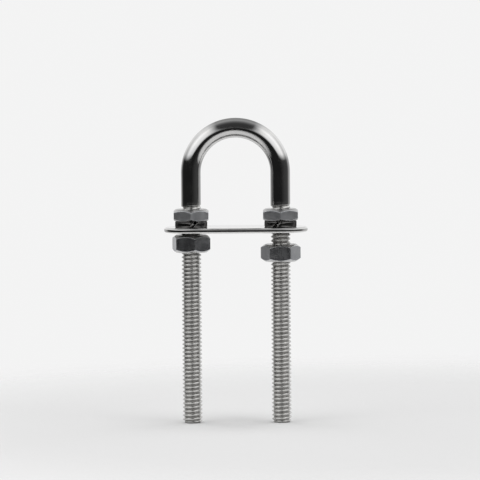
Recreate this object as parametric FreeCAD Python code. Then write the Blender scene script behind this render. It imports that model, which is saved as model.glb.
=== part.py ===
import FreeCAD, Part
import math
import os

# Bow eye for a small boat: a round stainless rod bent into a U, with both legs
# threaded, a plate that seats on the hull, and the nuts and washers that clamp it.
# Sizes are in millimetres. Z runs up through the eye, X runs from leg to leg, and
# the origin is midway between the legs, on the plate's face that meets the hull.

# Rod and legs
rod_diameter = 6.35
thread_diameter = 6.30
leg_spacing = 28.575
eye_height = 36.5
leg_length = 61.3
leg_end_chamfer = 0.7
thread_above_nut = 1.6

# Plate
plate_width = 17.46
plate_thickness = 1.5875
plate_edge_chamfer = 0.3
plate_hole_clearance = 0.4

# Split lock washers
washer_section_width = 1.9
washer_thickness = 1.8
washer_edge_chamfer = 0.3
washer_clearance = 0.1
washer_gap = 0.9
washer_slant = 40.0
washer_gap_turn_left = 9.0
washer_gap_turn_right = -15.0

# Hex nuts, all with the same width across flats
nut_across_flats = 11.11
jam_nut_height = 3.97
hex_nut_height = 5.56
nut_chamfer_angle = 35.0
nut_face_share = 0.89
nut_countersink = 0.45
nut_thread_clearance = 0.05
jam_nut_turn = 30.0
hex_nut_turn_left = -18.0
hex_nut_turn_right = -1.5
hex_nut_gap_left = 0.9
hex_nut_gap_right = 4.0
free_end_margin = 0.5

# Centre of the bend, above the hull face
bend_radius = leg_spacing / 2
bend_height = eye_height - rod_diameter / 2 - bend_radius

# The stack on each leg, from the hull face up
washer_seat = plate_thickness
jam_nut_seat = washer_seat + washer_thickness
thread_top = jam_nut_seat + jam_nut_height + thread_above_nut

# The lowest nut, and the free end of the legs that begins below it
lowest_nut_face = -max(hex_nut_gap_left, hex_nut_gap_right) - hex_nut_height
free_end_top = lowest_nut_face - free_end_margin

up = FreeCAD.Vector(0, 0, 1)
left_leg = FreeCAD.Vector(-leg_spacing / 2, 0, 0)
right_leg = FreeCAD.Vector(leg_spacing / 2, 0, 0)


def turned(profile):
    """A solid of revolution about Z from a closed (radius, height) profile."""
    points = [FreeCAD.Vector(r, 0, z) for r, z in profile]
    face = Part.Face(Part.makePolygon(points + points[:1]))
    return face.revolve(FreeCAD.Vector(0, 0, 0), up, 360)


def placed(shape, place, height, turn):
    """The shape turned about its own axis and set on a leg at a height."""
    copy = shape.copy()
    copy.rotate(FreeCAD.Vector(0, 0, 0), up, turn)
    copy.translate(place + up * height)
    return copy


def leg():
    """One straight leg: the plain shank, then the thread as its outer cylinder.

    The thread is drawn in two lengths, under the nuts and free below them, so that
    the free end is a wall of its own for what the eye is bolted through.
    """
    shank = rod_diameter / 2
    crest = thread_diameter / 2
    return turned([
        (0, bend_height),
        (0, -leg_length),
        (crest - leg_end_chamfer, -leg_length),
        (crest, -leg_length + leg_end_chamfer),
        (crest, free_end_top),
        (crest, thread_top - (shank - crest)),
        (shank, thread_top),
        (shank, bend_height),
    ])


def eye_rod():
    """The rod, bent through half a turn over the two legs.

    Its faces are listed from the free ends up, so each leg's free end is found first.
    """
    start = FreeCAD.Vector(bend_radius, 0, bend_height)
    section = Part.Face(Part.Wire(Part.makeCircle(rod_diameter / 2, start, up)))
    bend = section.revolve(up * bend_height, FreeCAD.Vector(0, -1, 0), 180)
    right = placed(leg(), right_leg, 0, 0)
    left = placed(leg(), left_leg, 0, 0)
    rod = right.fuse([left, bend])
    upward = sorted(rod.Faces, key=lambda face: face.CenterOfMass.z)
    return Part.Solid(Part.Shell(upward))


def hull_plate():
    """The thin plate with ends round about the legs and both its rims eased."""
    radius = plate_width / 2
    half = leg_spacing / 2
    corners = [FreeCAD.Vector(x, y, 0) for x, y in
               ((-half, -radius), (half, -radius), (half, radius), (-half, radius))]
    right_end = Part.Arc(corners[1], FreeCAD.Vector(half + radius, 0, 0), corners[2])
    left_end = Part.Arc(corners[3], FreeCAD.Vector(-half - radius, 0, 0), corners[0])
    outline = Part.Wire([
        Part.makeLine(corners[0], corners[1]),
        right_end.toShape(),
        Part.makeLine(corners[2], corners[3]),
        left_end.toShape(),
    ])
    plate = Part.Face(outline).extrude(up * plate_thickness)
    rims = [e for e in plate.Edges if abs(e.tangentAt(e.FirstParameter).z) < 0.5]
    plate = plate.makeChamfer(plate_edge_chamfer, rims)
    hole_radius = rod_diameter / 2 + plate_hole_clearance
    for place in (left_leg, right_leg):
        plate = plate.cut(Part.makeCylinder(hole_radius, plate_thickness, place, up))
    return plate


def lock_washer():
    """A split ring pressed flat, its outer edges eased, with a slanted cut at the front."""
    inner = rod_diameter / 2 + washer_clearance
    outer = inner + washer_section_width
    ring = turned([
        (inner, 0),
        (outer - washer_edge_chamfer, 0),
        (outer, washer_edge_chamfer),
        (outer, washer_thickness - washer_edge_chamfer),
        (outer - washer_edge_chamfer, washer_thickness),
        (inner, washer_thickness),
    ])
    depth = 2 * outer
    height = 4 * washer_thickness
    cutter = Part.makeBox(washer_gap, depth, height)
    cutter.translate(FreeCAD.Vector(-washer_gap / 2, -depth, -height / 2))
    cutter.rotate(FreeCAD.Vector(0, 0, 0), FreeCAD.Vector(0, 1, 0), washer_slant)
    cutter.translate(up * washer_thickness / 2)
    return ring.cut(cutter)


def nut(height):
    """A hex nut with both faces chamfered to a circle, so its flats end in arcs."""
    corner = nut_across_flats / math.sqrt(3)
    face = nut_face_share * nut_across_flats / 2
    drop = (corner - face) * math.tan(math.radians(nut_chamfer_angle))
    hexagon = [FreeCAD.Vector(corner * math.cos(a), corner * math.sin(a), 0)
               for a in (math.radians(60 * i) for i in range(6))]
    prism = Part.Face(Part.makePolygon(hexagon + hexagon[:1])).extrude(up * height)
    barrel = turned([
        (0, 0),
        (face, 0),
        (corner, drop),
        (corner, height - drop),
        (face, height),
        (0, height),
    ])
    bore = thread_diameter / 2 + nut_thread_clearance
    mouth = bore + nut_countersink
    hole = turned([
        (0, 0),
        (mouth, 0),
        (bore, nut_countersink),
        (bore, height - nut_countersink),
        (mouth, height),
        (0, height),
    ])
    return prism.common(barrel).cut(hole)


jam_nut = nut(jam_nut_height)
hex_nut = nut(hex_nut_height)
washer = lock_washer()

parts = {
    "eye_rod": eye_rod(),
    "hull_plate": hull_plate(),
    "lock_washer_left": placed(washer, left_leg, washer_seat, washer_gap_turn_left),
    "lock_washer_right": placed(washer, right_leg, washer_seat, washer_gap_turn_right),
    "jam_nut_left": placed(jam_nut, left_leg, jam_nut_seat, jam_nut_turn),
    "jam_nut_right": placed(jam_nut, right_leg, jam_nut_seat, jam_nut_turn),
    "hex_nut_left": placed(
        hex_nut, left_leg, -hex_nut_gap_left - hex_nut_height, hex_nut_turn_left),
    "hex_nut_right": placed(
        hex_nut, right_leg, -hex_nut_gap_right - hex_nut_height, hex_nut_turn_right),
}

os.makedirs("parts", exist_ok=True)
for name, shape in parts.items():
    shape.exportStep(f"parts/{name}.step")
    print(name, len(shape.Solids), shape.isValid(), round(shape.Volume, 2))
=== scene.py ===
import math

import bmesh
import bpy
from mathutils import Matrix, Vector


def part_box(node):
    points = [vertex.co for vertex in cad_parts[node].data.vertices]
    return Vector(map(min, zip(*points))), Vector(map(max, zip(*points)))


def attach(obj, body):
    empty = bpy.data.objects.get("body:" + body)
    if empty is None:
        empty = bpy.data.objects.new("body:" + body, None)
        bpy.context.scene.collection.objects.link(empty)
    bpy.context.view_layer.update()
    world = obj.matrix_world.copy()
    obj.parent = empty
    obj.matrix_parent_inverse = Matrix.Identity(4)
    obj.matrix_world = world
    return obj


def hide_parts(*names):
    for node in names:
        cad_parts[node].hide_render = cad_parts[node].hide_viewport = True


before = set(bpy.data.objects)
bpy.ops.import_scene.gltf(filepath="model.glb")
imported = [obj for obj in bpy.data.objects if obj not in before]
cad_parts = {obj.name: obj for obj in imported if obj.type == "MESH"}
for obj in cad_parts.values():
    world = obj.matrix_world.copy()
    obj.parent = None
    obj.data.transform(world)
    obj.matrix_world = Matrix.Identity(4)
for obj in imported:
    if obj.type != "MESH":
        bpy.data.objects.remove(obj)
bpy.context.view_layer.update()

# The eye rod: one round stainless rod bent over a former into a U and buffed bright, with
# a right-hand thread cut up both legs. The thread runs out a little above the thin nuts.

mm = 0.001
rod_low, rod_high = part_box("eye_rod")
rod_radius = 3.175 * mm
leg_x = rod_high.x - rod_radius
bend_z = rod_high.z - rod_radius - leg_x
rod_sides = 56
bend_steps = 112

# Leans are in degrees, away from straight out of the leg.
thread_pitch = 1.27 * mm
thread_crest = 3.15 * mm
thread_depth = 0.645 * mm
flank_lean = 60
crown_lean = 28
crest_crown = 0.40 * mm
crest_corner = 0.05 * mm
crest_leans = (-flank_lean, -42, -crown_lean, -14, 0, 14, crown_lean, 42, flank_lean)
root_round = 0.16 * mm
root_leans = (-flank_lean, -20, 20, flank_lean)
thread_end_gap = 0.02 * mm

run_out_from = 7.75 * mm
run_out_to = 9.0 * mm
shank_from = 9.6 * mm
shank_steps = (0.4 * mm, 3 * mm, 6 * mm, 9 * mm)
leg_end_radius = 2.45 * mm
leg_end_rings = (0.96, 0.5, 0.05)
buffed, threaded = 0, 1


def one_turn():
    """The thread's crowned crest and round root, with straight flanks 60 degrees apart, as
    (share of the pitch, share of the depth)."""
    turn = []
    middle = crest_crown - crest_corner
    for lean in crest_leans:
        a = math.radians(lean)
        crown = math.radians(min(max(lean, -crown_lean), crown_lean))
        turn.append(((middle * math.sin(crown) + crest_corner * math.sin(a)) / thread_pitch,
                     (crest_crown - middle * math.cos(crown) - crest_corner * math.cos(a))
                     / thread_depth))
    for lean in root_leans:
        a = math.radians(lean)
        turn.append((0.5 + root_round * math.sin(a) / thread_pitch,
                     1 - root_round * (1 - math.cos(a)) / thread_depth))
    foot = turn[0][0]
    return [(share - foot, depth) for share, depth in turn]


thread_turn = one_turn()


def ring(mesh, middle, radius, height, angles):
    """A flat loop of points round an upright line."""
    return [mesh.verts.new((middle.x + radius * math.cos(a),
                            middle.y + radius * math.sin(a), height)) for a in angles]


def round_the_loop(angles, radius):
    """How far round each point of a loop lies, and then the whole way round."""
    return [radius * a for a in angles] + [radius * 2 * math.pi]


def skin(mesh, grain, lower, upper, across, along_low, along_high, finish=0):
    """Faces between two loops. The grain holds the length across and along each face."""
    count = len(lower)
    for i in range(count):
        j = (i + 1) % count
        face = mesh.faces.new((lower[i], lower[j], upper[j], upper[i]))
        face.smooth = True
        face.material_index = finish
        places = ((across[i], along_low), (across[i + 1], along_low),
                  (across[i + 1], along_high), (across[i], along_high))
        for corner, place in zip(face.loops, places):
            corner[grain].uv = place


def cut_thread(mesh, grain, middle, angles, low_ring, high_ring, radius_at, finish):
    """A threaded wall between two flat loops, its rows climbing with the thread."""
    low, high = low_ring[0].co.z, high_ring[0].co.z
    rows = len(thread_turn)
    count = len(angles)
    first = math.floor(low / thread_pitch) * rows - rows
    last = math.ceil(high / thread_pitch) * rows + rows
    columns = []
    for a in angles:
        column = {}
        for n in range(first, last):
            share, depth = thread_turn[n % rows]
            height = (n // rows + share + a / (2 * math.pi)) * thread_pitch
            if low + thread_end_gap < height < high - thread_end_gap:
                radius = radius_at(height, depth)
                column[n] = mesh.verts.new((middle.x + radius * math.cos(a),
                                            middle.y + radius * math.sin(a), height))
        columns.append(column)
    low_radius = (low_ring[0].co.xy - middle.xy).length
    across = round_the_loop(angles, low_radius)
    # Once round, the thread has climbed a pitch, so the last column meets the first there.
    for i in range(count):
        j = (i + 1) % count
        here = columns[i]
        beside = columns[j] if j else {n - rows: v for n, v in columns[j].items()}
        here_from, here_to = min(here), max(here)
        beside_from, beside_to = min(beside), max(beside)
        faces = [[here[n], beside[n], beside[n + 1], here[n + 1]]
                 for n in range(here_from, beside_to)]
        faces.append([low_ring[i], low_ring[j]]
                     + [beside[n] for n in range(beside_from, here_from + 1)]
                     + [here[here_from]])
        faces.append([here[beside_to], beside[beside_to], high_ring[j], high_ring[i]]
                     + [here[n] for n in range(here_to, beside_to, -1)])
        left = set(here.values()) | {low_ring[i], high_ring[i]}
        for corners in faces:
            face = mesh.faces.new(corners)
            face.smooth = True
            face.material_index = finish
            for corner in face.loops:
                place = across[i] if corner.vert in left else across[i + 1]
                corner[grain].uv = (place, corner.vert.co.z)


def finished(mesh, name, finishes):
    """The mesh as an object, with its faces turned outwards."""
    bmesh.ops.recalc_face_normals(mesh, faces=mesh.faces)
    data = bpy.data.meshes.new(name)
    mesh.to_mesh(data)
    mesh.free()
    for finish in finishes:
        data.materials.append(finish)
    piece = bpy.data.objects.new(name, data)
    bpy.context.scene.collection.objects.link(piece)
    return piece


def rod_thread_radius(height, depth):
    """The rod's wall at a height: the thread, fading out above and chamfered at the end."""
    fade = min(max((run_out_to - height) / (run_out_to - run_out_from), 0), 1)
    crest = rod_radius - (rod_radius - thread_crest) * fade
    chamfer = leg_end_radius + (height - rod_low.z)
    return min(crest - depth * thread_depth * fade, chamfer)


def threaded_leg(mesh, grain, middle, angles):
    """One leg from its flat end up to the plain shank. Returns the loop at its top."""
    end = ring(mesh, middle, leg_end_radius, rod_low.z, angles)
    across = round_the_loop(angles, leg_end_radius)
    outer = end
    for share in leg_end_rings:
        inner = ring(mesh, middle, leg_end_radius * share, rod_low.z, angles)
        skin(mesh, grain, inner, outer, across, rod_low.z - leg_end_radius * (1 - share),
             rod_low.z, threaded)
        outer = inner
    cap = mesh.faces.new(list(reversed(outer)))
    cap.material_index = threaded
    top = ring(mesh, middle, rod_radius, shank_from, angles)
    cut_thread(mesh, grain, middle, angles, end, top, rod_thread_radius, threaded)
    return top


def build_rod(finishes):
    """Both legs, then one run of loops up the left shank, over the bend and down."""
    angles = [2 * math.pi * i / rod_sides for i in range(rod_sides)]
    mesh = bmesh.new()
    grain = mesh.loops.layers.uv.new("grain")
    left_top = threaded_leg(mesh, grain, Vector((-leg_x, 0, 0)), angles)
    right_top = threaded_leg(mesh, grain, Vector((leg_x, 0, 0)), angles)
    # The run comes down turned over, so the right leg's points are taken the other way.
    right_top = [right_top[(rod_sides // 2 - i) % rod_sides] for i in range(rod_sides)]
    # Each place on the path is a turn about the bend's centre and a height below it.
    path = [(0.0, bend_z - shank_from - step) for step in shank_steps]
    path += [(math.pi * i / bend_steps, 0.0) for i in range(bend_steps + 1)]
    path += [(math.pi, bend_z - shank_from - step) for step in reversed(shank_steps)]
    loops = [left_top]
    for turn, below in path:
        tilt = Matrix.Rotation(turn, 3, "Y")
        loop = []
        for a in angles:
            point = tilt @ Vector((-leg_x + rod_radius * math.cos(a), rod_radius * math.sin(a), 0))
            loop.append(mesh.verts.new((point.x, point.y, bend_z + point.z - below)))
        loops.append(loop)
    loops.append(right_top)
    across = round_the_loop(angles, rod_radius)
    along = shank_from
    for before, after in zip(loops, loops[1:]):
        middle_before = sum((v.co for v in before), Vector()) / rod_sides
        middle_after = sum((v.co for v in after), Vector()) / rod_sides
        further = along + (middle_after - middle_before).length
        skin(mesh, grain, before, after, across, along, further, buffed)
        along = further
    return finished(mesh, "bent_rod", finishes)


# Marks and patches are counted per metre. A noise's own value lies mostly between
# noise_low and noise_high.
noise_low = 0.30
noise_high = 0.70

buffed_dark = (0.600, 0.600, 0.605)
buffed_light = (0.680, 0.675, 0.665)
buffing_marks = (5200, 260, 1)
buffing_depth = 0.0002 * mm
buffing_roughness = (0.045, 0.085)
haze_patches = 210.0
haze_from = 0.35
haze_roughness = 0.045
ripple_patches = 330.0
ripple_depth = 0.0035 * mm

# The thread's grey from the grooves up to the crests; the darker grey in the grooves is painted
# shade.
groove_shade_tones = [(0.05, (0.370, 0.365, 0.355)), (0.50, (0.535, 0.530, 0.517)),
                (0.90, (0.665, 0.660, 0.646))]
groove_roughness = 0.30
crest_roughness = 0.14
tool_marks = (420, 9000, 1)
tool_depth = 0.002 * mm
tool_roughness = (-0.03, 0.05)
groove_patches = 520.0
groove_patch_reach = 0.16


def add(tree, kind, inputs=None, **settings):
    """A shader node with its settings, values and links."""
    made = tree.nodes.new(kind)
    for name, value in settings.items():
        setattr(made, name, value)
    for name, value in (inputs or {}).items():
        if isinstance(value, bpy.types.NodeSocket):
            tree.links.new(value, made.inputs[name])
        else:
            made.inputs[name].default_value = value
    return made


def steel(name):
    """A bare steel to be finished: its material, node tree and shader."""
    material = bpy.data.materials.new(name)
    material.use_nodes = True
    tree = material.node_tree
    shader = tree.nodes["Principled BSDF"]
    shader.inputs["Metallic"].default_value = 1.0
    return material, tree, shader


def body_of(tree):
    """A place in the piece, in metres."""
    return add(tree, "ShaderNodeTexCoord").outputs["Object"]


def marks(tree, per_metre, detail=3.0):
    """Noise drawn out along one way of the grain, for buffing, rolling or turning marks."""
    grain = add(tree, "ShaderNodeUVMap", uv_map="grain").outputs["UV"]
    drawn = add(tree, "ShaderNodeMapping", {"Vector": grain, "Scale": per_metre}).outputs["Vector"]
    return add(tree, "ShaderNodeTexNoise",
               {"Vector": drawn, "Scale": 1.0, "Detail": detail}).outputs["Fac"]


def patches(tree, per_metre, detail=4.0):
    """Cloudy noise all through the piece, for haze, stains and wear."""
    return add(tree, "ShaderNodeTexNoise",
               {"Vector": body_of(tree), "Scale": per_metre, "Detail": detail}).outputs["Fac"]


def spread(tree, value, low, high, to_low, to_high, **settings):
    """A value carried from one range into another, and held at its ends."""
    return add(tree, "ShaderNodeMapRange",
               {"Value": value, "From Min": low, "From Max": high,
                "To Min": to_low, "To Max": to_high}, **settings).outputs["Result"]


def reckon(tree, operation, *values):
    """One step of arithmetic."""
    return add(tree, "ShaderNodeMath", dict(enumerate(values)),
               operation=operation).outputs["Value"]


def shades(tree, value, stops):
    """A colour that follows a value through its stops."""
    made = add(tree, "ShaderNodeValToRGB", {"Fac": value})
    ramp = made.color_ramp
    while len(ramp.elements) < len(stops):
        ramp.elements.new(0.5)
    for element, (place, colour) in zip(ramp.elements, stops):
        element.position = place
        element.color = (*colour, 1)
    return made.outputs["Color"]


def relief(tree, height, depth, under=None):
    """Bump of a real depth in metres, over the relief under it."""
    made = add(tree, "ShaderNodeBump", {"Strength": 1.0, "Distance": depth, "Height": height})
    if under is not None:
        tree.links.new(under, made.inputs["Normal"])
    return made.outputs["Normal"]


def buffed_steel():
    """The bow: fine marks along the rod over a slight ripple, with a thin haze."""
    material, tree, shader = steel("buffed_steel")
    buffing = marks(tree, buffing_marks)
    haze = patches(tree, haze_patches)
    ripple = patches(tree, ripple_patches, detail=1.0)
    tone = shades(tree, haze, [(noise_low, buffed_dark), (noise_high, buffed_light)])
    tree.links.new(tone, shader.inputs["Base Color"])
    rough = reckon(tree, "ADD", spread(tree, buffing, noise_low, noise_high, *buffing_roughness),
                   spread(tree, haze, haze_from, noise_high, 0.0, haze_roughness))
    tree.links.new(rough, shader.inputs["Roughness"])
    waves = relief(tree, ripple, ripple_depth)
    tree.links.new(relief(tree, buffing, buffing_depth, waves), shader.inputs["Normal"])
    return material


def cut_thread_steel():
    """Lighter on the crests, and rougher and darker down in the grooves, where the darker grey is
    painted shade.
    """
    material, tree, shader = steel("cut_thread_steel")
    place = add(tree, "ShaderNodeSeparateXYZ", {"Vector": body_of(tree)})
    out_from_leg = reckon(tree, "SUBTRACT", reckon(tree, "ABSOLUTE", place.outputs["X"]), leg_x)
    forward = place.outputs["Y"]
    reach = reckon(tree, "SQRT", reckon(tree, "ADD",
                                        reckon(tree, "MULTIPLY", out_from_leg, out_from_leg),
                                        reckon(tree, "MULTIPLY", forward, forward)))
    up_the_flank = spread(tree, reach, thread_crest - thread_depth, thread_crest, 0.0, 1.0)
    tool = marks(tree, tool_marks)
    stain = spread(tree, patches(tree, groove_patches), noise_low, noise_high,
                   -groove_patch_reach, groove_patch_reach)
    # Painted shade darkening the grooves, with random stains over it.
    groove_shade_and_stain = reckon(tree, "ADD", up_the_flank, stain)
    tree.links.new(shades(tree, groove_shade_and_stain, groove_shade_tones), shader.inputs["Base Color"])
    rough = reckon(tree, "ADD", spread(tree, groove_shade_and_stain, 0.0, 1.0, groove_roughness, crest_roughness),
                   spread(tree, tool, noise_low, noise_high, *tool_roughness))
    tree.links.new(rough, shader.inputs["Roughness"])
    tree.links.new(relief(tree, tool, tool_depth), shader.inputs["Normal"])
    return material


bent_rod = build_rod([buffed_steel(), cut_thread_steel()])
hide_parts("eye_rod")
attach(bent_rod, "root")

# The hull plate: thin stainless sheet stamped with round ends and two clearance holes, its
# upper rim bevelled and its lower rim rounded. It lies flat on the hull, round the legs, and
# all but the holes and the face on the hull is polished. Those are a rougher mill finish,
# their grey darkened as painted shade under the plate.

plate_low, plate_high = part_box("hull_plate")
plate_radius = plate_high.y
end_steps = 20
side_steps = 12
middle_steps = 8
bevel_lean = math.radians(52)
upper_rim = {"corner": 0.12 * mm, "bevel": 0.68 * mm}
lower_rim = {"corner": 0.53 * mm, "bevel": 0.04 * mm}
upper_corner_steps = 3
lower_corner_steps = 4
flat_margins = (0.25 * mm, 0.05 * mm)
hole_radius = 3.575 * mm
hole_rim = 0.12 * mm
hole_rim_steps = ((0.0, 1.0), (0.3, 0.3), (1.0, 0.0), (2.0, 0.0))
flat_strips = len(hole_rim_steps) + len(flat_margins)
on_the_joint = 0.000001 * mm
weld_reach = 0.0001 * mm
polished, dull_and_shaded = 0, 1


def half_outline(inset):
    """Half of the plate's outline pulled in by the inset, as (x, y): round the end, along the
    side, across the middle and back along the other side."""
    reach = plate_radius - inset
    quarter = [math.pi / 2 * i / end_steps for i in range(end_steps)]
    upper = [(leg_x + reach * math.cos(a), reach * math.sin(a)) for a in quarter]
    upper += [(leg_x * (1 - i / side_steps), reach) for i in range(side_steps)]
    upper += [(0.0, reach * (1 - i / middle_steps)) for i in range(middle_steps + 1)]
    return upper + [(x, -y) for x, y in reversed(upper[1:-1])]


def rim_section(corner, bevel):
    """One rim as (inset, drop) from the flat face out to the edge: a bevel between two
    rounded corners."""
    round_over = [math.pi / 2 + (bevel_lean - math.pi / 2) * i / upper_corner_steps
                  for i in range(upper_corner_steps + 1)]
    round_under = [bevel_lean * (1 - i / lower_corner_steps)
                   for i in range(lower_corner_steps + 1)]
    section = [(corner + bevel * math.sin(bevel_lean) - corner * math.cos(a),
                corner - corner * math.sin(a)) for a in round_over]
    return section + [(corner - corner * math.cos(a),
                       corner + bevel * math.cos(bevel_lean) - corner * math.sin(a))
                      for a in round_under]


def half_plate_loops(mesh, side, height, up, rim):
    """The loops of one face of one half: out from the hole to the rim, then over the rim."""
    loops = []
    round_the_hole = [math.atan2(y, x - leg_x) for x, y in half_outline(0.0)]
    for out, down in hole_rim_steps:
        radius = hole_radius + hole_rim * out
        loops.append([mesh.verts.new((side * (leg_x + radius * math.cos(a)),
                                      radius * math.sin(a), height - up * hole_rim * down))
                      for a in round_the_hole])
    section = rim_section(**rim)
    flat_end = section[0][0]
    for inset, drop in [(flat_end + margin, 0.0) for margin in flat_margins] + section:
        loops.append([mesh.verts.new((side * x, y, height - up * drop))
                      for x, y in half_outline(inset)])
    return loops


def build_plate(finishes):
    """Two halves, each of strips out from its hole, welded along the middle. What would
    lie inside the weld is left out."""
    mesh = bmesh.new()
    grain = mesh.loops.layers.uv.new("grain")
    for side in (1, -1):
        bottom = half_plate_loops(mesh, side, plate_low.z, -1, lower_rim)
        top = half_plate_loops(mesh, side, plate_high.z, 1, upper_rim)
        strips = [(inner, outer, polished) for inner, outer in zip(top, top[1:])]
        # The face on the hull and the hole walls take the mill finish darkened with painted shade.
        strips += [(inner, outer, dull_and_shaded if n < flat_strips else polished)
                   for n, (inner, outer) in enumerate(zip(bottom, bottom[1:]))]
        strips += [(top[0], bottom[0], dull_and_shaded), (top[-1], bottom[-1], polished)]
        for inner, outer, finish in strips:
            for i in range(len(inner)):
                j = (i + 1) % len(inner)
                corners = [inner[i], inner[j], outer[j], outer[i]]
                if all(abs(v.co.x) < on_the_joint for v in corners):
                    continue
                face = mesh.faces.new(corners)
                face.smooth = True
                face.material_index = finish
                for corner in face.loops:
                    corner[grain].uv = (corner.vert.co.x, corner.vert.co.y + corner.vert.co.z)
    loose = [v for v in mesh.verts if not v.link_faces]
    bmesh.ops.delete(mesh, geom=loose, context="VERTS")
    bmesh.ops.remove_doubles(mesh, verts=mesh.verts, dist=weld_reach)
    return finished(mesh, "plate", finishes)


wear_from = 0.54
wear_to = 0.66
wear_patches = 900.0
wear_patch_from = 0.35
wear_patch_to = 0.60

polished_sheet = {
    "dark": (0.700, 0.698, 0.692), "light": (0.770, 0.766, 0.758), "bright": (0.84, 0.835, 0.825),
    "lines": (160, 5200, 1), "line_depth": 0.0005 * mm, "roughness": (0.045, 0.085),
    "clouds": 260.0, "cloud_roughness": 0.04, "edge_roughness": 0.03,
}
# The rougher mill finish, its dark grey partly painted shade under the plate.
mill_sheet_shaded = {
    "dark": (0.300, 0.297, 0.290), "light": (0.410, 0.405, 0.395), "bright": (0.62, 0.615, 0.605),
    "lines": (130, 4200, 1), "line_detail": 4.0, "line_depth": 0.002 * mm,
    "roughness": (0.34, 0.46), "clouds": 340.0, "cloud_detail": 5.0, "cloud_roughness": 0.06,
}


def edge_wear(tree):
    """How far the edges are rubbed bright, in patches: 0 away from them, 1 on them."""
    sharpness = add(tree, "ShaderNodeNewGeometry").outputs["Pointiness"]
    rubs = patches(tree, wear_patches, detail=3.0)
    return reckon(tree, "MULTIPLY", spread(tree, sharpness, wear_from, wear_to, 0.0, 1.0),
                  spread(tree, rubs, wear_patch_from, wear_patch_to, 0.0, 1.0))


mix_sockets = {"RGBA": (6, 7, 2), "FLOAT": (2, 3, 0)}


def mixed(tree, kind, share, one, other):
    """From one value or colour to the other, by a share."""
    first, second, result = mix_sockets[kind]
    return add(tree, "ShaderNodeMix", {0: share, first: one, second: other},
               data_type=kind).outputs[result]


def worked_steel(name, dark, light, bright, lines, line_depth, roughness, clouds,
                 cloud_roughness, line_detail=3.0, cloud_detail=4.0, edge_roughness=None):
    """Steel with the lines that its working left, darker and lighter clouds, and edges
    rubbed bright."""
    material, tree, shader = steel(name)
    line = marks(tree, lines, line_detail)
    cloud = patches(tree, clouds, cloud_detail)
    wear = edge_wear(tree)
    tone = shades(tree, cloud, [(noise_low, dark), (noise_high, light)])
    tree.links.new(mixed(tree, "RGBA", wear, tone, (*bright, 1)), shader.inputs["Base Color"])
    rough = reckon(tree, "ADD", spread(tree, line, noise_low, noise_high, *roughness),
                   spread(tree, cloud, haze_from, noise_high, 0.0, cloud_roughness))
    if edge_roughness:
        rough = reckon(tree, "ADD", rough, reckon(tree, "MULTIPLY", wear, edge_roughness))
    tree.links.new(rough, shader.inputs["Roughness"])
    tree.links.new(relief(tree, line, line_depth), shader.inputs["Normal"])
    return material


plate = build_plate([worked_steel("polished_sheet", **polished_sheet),
                     worked_steel("mill_sheet_shaded", **mill_sheet_shaded)])
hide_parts("hull_plate")
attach(plate, "root")

# The lock washers: spring-steel wire of square section coiled into a ring and cut off on a
# slant, one on each leg. Here they are pressed flat between the plate and the thin nuts.
# Their very dark grey is partly the steel's own tone and partly painted shade between the
# plate and the nuts, and their glancing reflection is dimmed as painted shade too.

washer_inner = 3.275 * mm
washer_outer = 5.175 * mm
washer_edge = 0.30 * mm
washer_edge_steps = 4
washer_steps = 88
washer_gap = 0.9 * mm
washer_slant = math.radians(40)
washer_gap_turn = {"left": math.radians(9), "right": math.radians(-15)}
# Dark steel, its near-black grey partly painted shade between the plate and the nuts.
spring_steel_shaded = {
    "dark": (0.120, 0.118, 0.115), "light": (0.190, 0.186, 0.182), "bright": (0.30, 0.296, 0.290),
    "lines": (5200, 190, 1), "line_depth": 0.0015 * mm, "roughness": (0.10, 0.16),
    "clouds": 640.0, "cloud_roughness": 0.05,
}
# A grey glance that dims the washers' reflections at the edges, as painted shade.
washer_glance_shade = (0.28, 0.28, 0.28)


def washer_section(thickness):
    """The wire's section, its corners eased, as (radius, height) from the inner foot."""
    half = thickness / 2
    corners = [(washer_inner, -half, -1, -1), (washer_outer, -half, 1, -1),
               (washer_outer, half, 1, 1), (washer_inner, half, -1, 1)]
    section = []
    for n, (radius, height, out, up) in enumerate(corners):
        for i in range(washer_edge_steps + 1):
            a = math.radians(180 + 90 * n + 90 * i / washer_edge_steps)
            section.append((radius - out * washer_edge + washer_edge * math.cos(a),
                            height - up * washer_edge + washer_edge * math.sin(a)))
    return section


def build_washer(side, finish):
    """One washer: its section carried round from one side of the slanted gap to the other."""
    node = "lock_washer_" + side
    low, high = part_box(node)
    middle_x = (low.x + high.x) / 2
    section = washer_section(high.z - low.z)
    mesh = bmesh.new()
    grain = mesh.loops.layers.uv.new("grain")
    half_gap = washer_gap / 2 / math.cos(washer_slant) / washer_outer
    front = -math.pi / 2 + washer_gap_turn[side]
    loops = []
    for step in range(washer_steps + 1):
        a = front + half_gap + (2 * math.pi - 2 * half_gap) * step / washer_steps
        loop = []
        for radius, height in section:
            lean = a + height * math.tan(washer_slant) / washer_outer
            loop.append(mesh.verts.new((middle_x + radius * math.cos(lean),
                                        radius * math.sin(lean),
                                        (low.z + high.z) / 2 + height)))
        loops.append(loop)
    across = [0.0]
    for (r0, h0), (r1, h1) in zip(section, section[1:] + section[:1]):
        across.append(across[-1] + math.hypot(r1 - r0, h1 - h0))
    run = 2 * math.pi * (washer_inner + washer_outer) / 2 / washer_steps
    for step, (before, after) in enumerate(zip(loops, loops[1:])):
        skin(mesh, grain, before, after, across, run * step, run * (step + 1))
    for end in (loops[0], loops[-1]):
        mesh.faces.new(end)
    piece = finished(mesh, "washer_" + side, [finish])
    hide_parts(node)
    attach(piece, "root")


washer_shaded_steel = worked_steel("spring_steel_shaded", **spring_steel_shaded)
washer_shader = washer_shaded_steel.node_tree.nodes["Principled BSDF"]
# The washers' dimmed glance is painted shade on their reflections.
washer_shader.inputs["Specular Tint"].default_value = (*washer_glance_shade, 1)
for side in ("left", "right"):
    build_washer(side, washer_shaded_steel)

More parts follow.
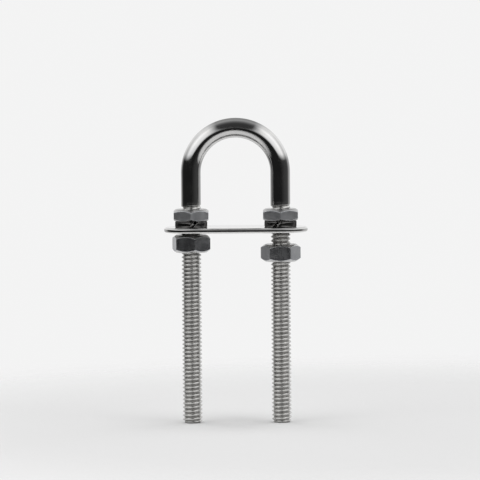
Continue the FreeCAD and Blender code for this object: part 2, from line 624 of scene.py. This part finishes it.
# The hex nuts: two thin ones above the plate and two full ones below it, turned from drawn
# hexagon bar. Both ends are chamfered to a circle, so each flat ends in a shallow arc.

nut_flats = 11.11 * mm
nut_corner_round = 0.16 * mm
nut_corner_steps = (0.0, 0.6, 1.3, 2.2, 4.0, 8.0, 13.0, 18.5, 24.0)
nut_face_share = 0.89
nut_face_radius = nut_face_share * nut_flats / 2
nut_chamfer = math.radians(35)
nut_edge = 0.07 * mm
nut_mouth = 3.60 * mm
nut_thread_root = 3.22 * mm
nut_thread_depth = 0.54 * mm
flats, turned = 0, 1

# The loops of a face, from the bore out: (radius, drop) on the flat face, shares of the way
# down the chamfer, and (inward, further down) in shares of the eased edge of each flat.
nut_face_loops = ((nut_mouth, 0.0), (nut_mouth + 0.05 * mm, 0.0),
                  (nut_face_radius - 0.10 * mm, 0.0), (nut_face_radius - 0.03 * mm, 0.004 * mm))
nut_chamfer_loops = (0.08, 0.5, 0.9)
nut_edge_loops = ((0.45, 0.15), (0.12, 0.55), (0.0, 1.3), (0.0, 2.8))
nut_loop_run = 0.6 * mm

# Each nut's name, its node in the frame, and how far it is turned, in degrees.
nuts = (("thin_nut_left", "jam_nut_left", 30), ("thin_nut_right", "jam_nut_right", 30),
        ("full_nut_left", "hex_nut_left", -18), ("full_nut_right", "hex_nut_right", -1.5))
drawn_bar = {
    "dark": (0.490, 0.500, 0.520), "light": (0.595, 0.603, 0.620), "bright": (0.72, 0.72, 0.72),
    "lines": (6500, 130, 1), "line_depth": 0.0012 * mm, "clouds": 420.0, "cloud_detail": 5.0,
    "cloud_roughness": 0.05,
}
tumbled_roughness = (0.30, 0.40)
bright_roughness = (0.15, 0.23)
turned_steel = {
    "dark": (0.530, 0.530, 0.535), "light": (0.640, 0.638, 0.635), "bright": (0.75, 0.75, 0.745),
    "lines": (150, 9000, 1), "line_depth": 0.0015 * mm, "roughness": (0.17, 0.27),
    "clouds": 500.0, "cloud_roughness": 0.05,
}


def nut_angles(turn):
    """Angles round a nut, close together at its six corners."""
    sector = list(nut_corner_steps) + [30.0] + [60.0 - s for s in reversed(nut_corner_steps[1:])]
    degrees = sorted((turn + 60 * n + s) % 360 for n in range(6) for s in sector)
    return [math.radians(d) for d in degrees]


def hexagon_radius(angle, turn):
    """Distance from the axis to the nut's wall, with its six corners slightly rounded."""
    from_flat = (angle - math.radians(turn + 30)) % math.radians(60)
    from_flat = min(from_flat, math.radians(60) - from_flat)
    plain = nut_flats / 2 / math.cos(from_flat)
    # The rounding is a small circle held by the two flats.
    centre = (nut_flats / 2 - nut_corner_round) / math.cos(math.radians(30))
    from_corner = math.radians(30) - from_flat
    reach = nut_corner_round ** 2 - (centre * math.sin(from_corner)) ** 2
    if reach <= 0:
        return plain
    return min(plain, centre * math.cos(from_corner) + math.sqrt(reach))


def face_section(walls):
    """The loops of one face as (radii, drops), from the bore out and over to the flats."""
    slope = math.tan(nut_chamfer)
    section = [([radius] * len(walls), [drop] * len(walls)) for radius, drop in nut_face_loops]
    for share in nut_chamfer_loops:
        radii = [nut_face_radius + (w - nut_edge - nut_face_radius) * share for w in walls]
        section.append((radii, [(r - nut_face_radius) * slope for r in radii]))
    for inward, further in nut_edge_loops:
        section.append(([w - nut_edge * inward for w in walls],
                        [(w - nut_face_radius) * slope + nut_edge * further for w in walls]))
    return section


def build_nut(name, node, turn, finishes):
    """One nut: its two faces, the flats between them, and the thread through it."""
    low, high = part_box(node)
    middle = Vector(((low.x + high.x) / 2, 0, 0))
    angles = nut_angles(turn)
    section = face_section([hexagon_radius(a, turn) for a in angles])
    across = round_the_loop(angles, nut_flats / 2)
    turned_strips = len(nut_face_loops) + len(nut_chamfer_loops) - 1
    mesh = bmesh.new()
    grain = mesh.loops.layers.uv.new("grain")
    sides = []
    for face_z, up in ((low.z, -1), (high.z, 1)):
        loops = [[mesh.verts.new((middle.x + r * math.cos(a), middle.y + r * math.sin(a),
                                  face_z - up * d)) for a, r, d in zip(angles, radii, drops)]
                 for radii, drops in section]
        for n, (inner, outer) in enumerate(zip(loops, loops[1:])):
            skin(mesh, grain, inner, outer, across, nut_loop_run * n, nut_loop_run * (n + 1),
                 turned if n < turned_strips else flats)
        sides.append(loops)
    bottom, top = sides
    skin(mesh, grain, bottom[-1], top[-1], across, low.z, high.z, flats)

    def bore_radius(height, depth):
        mouth = nut_mouth - min(height - low.z, high.z - height)
        return max(nut_thread_root - depth * nut_thread_depth, mouth)

    # The nut's thread follows the rod's, a little further out, so its ridges fill the grooves.
    cut_thread(mesh, grain, middle, angles, bottom[0], top[0], bore_radius, turned)
    piece = finished(mesh, name, finishes)
    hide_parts(node)
    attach(piece, "root")


faces_and_bores = worked_steel("turned_steel", **turned_steel)
thin_nut_flats = worked_steel("tumbled_flats", roughness=tumbled_roughness, **drawn_bar)
full_nut_flats = worked_steel("bright_flats", roughness=bright_roughness, **drawn_bar)
for name, node, turn in nuts:
    bar = thin_nut_flats if name.startswith("thin_nut") else full_nut_flats
    build_nut(name, node, turn, [bar, faces_and_bores])

# The floor: a round, pale, matt sheet under the legs. It fades out into the white behind
# it, so that no edge shows.

floor_colour = (0.86, 0.86, 0.86)
floor_roughness = 0.9
floor_radius = 0.26
floor_sides = 96
floor_fade_from = 0.11
floor_fade_to = 0.24
floor_middle = 0.05

floor_mesh = bmesh.new()
bmesh.ops.create_circle(floor_mesh, cap_ends=True, segments=floor_sides, radius=floor_radius)
floor_data = bpy.data.meshes.new("floor")
floor_mesh.to_mesh(floor_data)
floor_mesh.free()
floor = bpy.data.objects.new("floor", floor_data)
floor.location = (floor_middle, 0, rod_low.z)
bpy.context.scene.collection.objects.link(floor)
floor_material = bpy.data.materials.new("floor")
floor_material.use_nodes = True
floor_tree = floor_material.node_tree
floor_shader = floor_tree.nodes["Principled BSDF"]
floor_shader.inputs["Base Color"].default_value = (*floor_colour, 1)
floor_shader.inputs["Roughness"].default_value = floor_roughness
floor_shader.inputs["Specular IOR Level"].default_value = 0.0
from_middle = add(floor_tree, "ShaderNodeVectorMath", {0: body_of(floor_tree)},
                  operation="LENGTH").outputs["Value"]
floor_there = spread(floor_tree, from_middle, floor_fade_from, floor_fade_to, 1.0, 0.0,
                     interpolation_type="SMOOTHSTEP")
floor_tree.links.new(floor_there, floor_shader.inputs["Alpha"])
floor_data.materials.append(floor_material)

# The light: a dim room with a long soft panel on each side, brightest in front, and a lamp
# straight above that lights the floor alone, for the shadow there. The camera sees white
# behind the object, and so does the metal that faces away from the camera.

lamp_glow = 1.9
lamp_size = 0.8
lamp_height = 1.0

lamp = bpy.data.lights.new("overhead", "AREA")
lamp.size = lamp_size
lamp.energy = lamp_glow * math.pi * lamp_size ** 2
overhead_lamp = bpy.data.objects.new("overhead", lamp)
overhead_lamp.location = (0, 0, lamp_height)
overhead_lamp.visible_camera = False
overhead_lamp.visible_glossy = False
bpy.context.scene.collection.objects.link(overhead_lamp)

# Brightness by lift, in degrees over the horizon on either side, and by depth, from -1
# straight in front of the object to 1 straight behind it.
panel_glow = 1.4
panel_lift = [(10.5, 0.0), (18, 0.85), (30, 1.0), (46, 1.0), (56, 0.78), (67, 0.0)]
panel_along = [(-1.0, 0.12), (-0.985, 0.42), (-0.95, 0.74), (-0.87, 0.82), (-0.75, 0.86),
               (-0.58, 0.97), (-0.38, 1.0), (-0.14, 0.70),
               (0.14, 0.51), (0.47, 0.50), (0.83, 0.38), (1.0, 0.34)]
ceiling_along = [(-0.9, 0.045), (-0.7, 0.05), (-0.55, 0.065), (-0.38, 0.12), (-0.14, 0.23),
                 (0.14, 0.41), (0.5, 0.36), (1.0, 0.30)]
ceiling_from = 20
ceiling_to = 60
horizon_round = [(-0.35, 0.015), (0.0, 0.02), (0.25, 0.06), (0.42, 0.22), (0.55, 0.40),
                 (0.75, 0.50), (1.0, 0.60)]
horizon_lean = 0.12
horizon_reach = 1.1
faint_right = 0.045
faint_right_from = 0.2
faint_right_to = 0.9
white = 0.90
white_from = 0.90
white_to = 0.985


def levels(tree, value, low, high, stops):
    """A grey that follows a value through stops given in the value's own units."""
    share = spread(tree, value, low, high, 0.0, 1.0)
    return shades(tree, share, [((place - low) / (high - low), (grey, grey, grey))
                                for place, grey in stops])


world = bpy.data.worlds.new("studio")
bpy.context.scene.world = world
world.use_nodes = True
studio = world.node_tree
backdrop = studio.nodes["Background"]
ray = add(studio, "ShaderNodeLightPath")
direction = add(studio, "ShaderNodeSeparateXYZ",
                {"Vector": add(studio, "ShaderNodeTexCoord").outputs["Generated"]})
rightward = direction.outputs["X"]
depth = direction.outputs["Y"]
sideways = reckon(studio, "ABSOLUTE", rightward)
lift = reckon(studio, "MULTIPLY", reckon(studio, "ARCTAN2", direction.outputs["Z"], sideways),
              180 / math.pi)
panels = reckon(studio, "MULTIPLY", levels(studio, lift, -90, 90, panel_lift),
                reckon(studio, "MULTIPLY", levels(studio, depth, -1, 1, panel_along), panel_glow))
round_the_room = reckon(studio, "ADD", depth, reckon(studio, "MULTIPLY", rightward, horizon_lean))
horizon = levels(studio, round_the_room, -horizon_reach, horizon_reach, horizon_round)
ceiling = levels(studio, depth, -1, 1, ceiling_along)
overhead = spread(studio, lift, ceiling_from, ceiling_to, 0.0, 1.0,
                  interpolation_type="SMOOTHSTEP")
walls = mixed(studio, "FLOAT", overhead, horizon, ceiling)
room = reckon(studio, "ADD", reckon(studio, "ADD", walls, panels),
              spread(studio, rightward, faint_right_from, faint_right_to, 0.0, faint_right))
behind = spread(studio, depth, white_from, white_to, 0.0, 1.0, interpolation_type="SMOOTHSTEP")
metal_or_glass = reckon(studio, "MAXIMUM", ray.outputs["Is Glossy Ray"],
                        ray.outputs["Is Transmission Ray"])
shows_white = reckon(studio, "MAXIMUM", ray.outputs["Is Camera Ray"],
                     reckon(studio, "MULTIPLY", metal_or_glass, behind))
studio.links.new(mixed(studio, "FLOAT", shows_white, room, white), backdrop.inputs["Color"])
backdrop.inputs["Strength"].default_value = 1.0

# The camera: square to the plate and a little above the object, through a long lens, with
# the photograph's scale, place and slight roll.

camera_distance = 1.6
camera_lift = math.radians(4.0)
camera_roll = math.radians(0.41)
camera_near = 0.1
camera_far = 20
pixel = 0.32 * mm
photo_pixels = 480
photo_middle = 240
eye_middle_column = 235.9
hull_face_row = 231.7

lens = bpy.data.cameras.new("camera")
lens.lens = lens.sensor_width * camera_distance / (photo_pixels * pixel)
lens.clip_start = camera_near
lens.clip_end = camera_far
camera = bpy.data.objects.new("camera", lens)
bpy.context.scene.collection.objects.link(camera)
back = Vector((0, -math.cos(camera_lift), math.sin(camera_lift)))
roll = Matrix.Rotation(camera_roll, 3, back)
right = roll.transposed() @ Vector((1, 0, 0))
upright = back.cross(right)
camera.matrix_world = Matrix((right, upright, back)).transposed().to_4x4()
camera.location = (back * camera_distance
                   + right * (photo_middle - eye_middle_column) * pixel
                   + upright * (hull_face_row - photo_middle) * pixel)
bpy.context.scene.camera = camera
bpy.context.scene.view_settings.view_transform = "Standard"
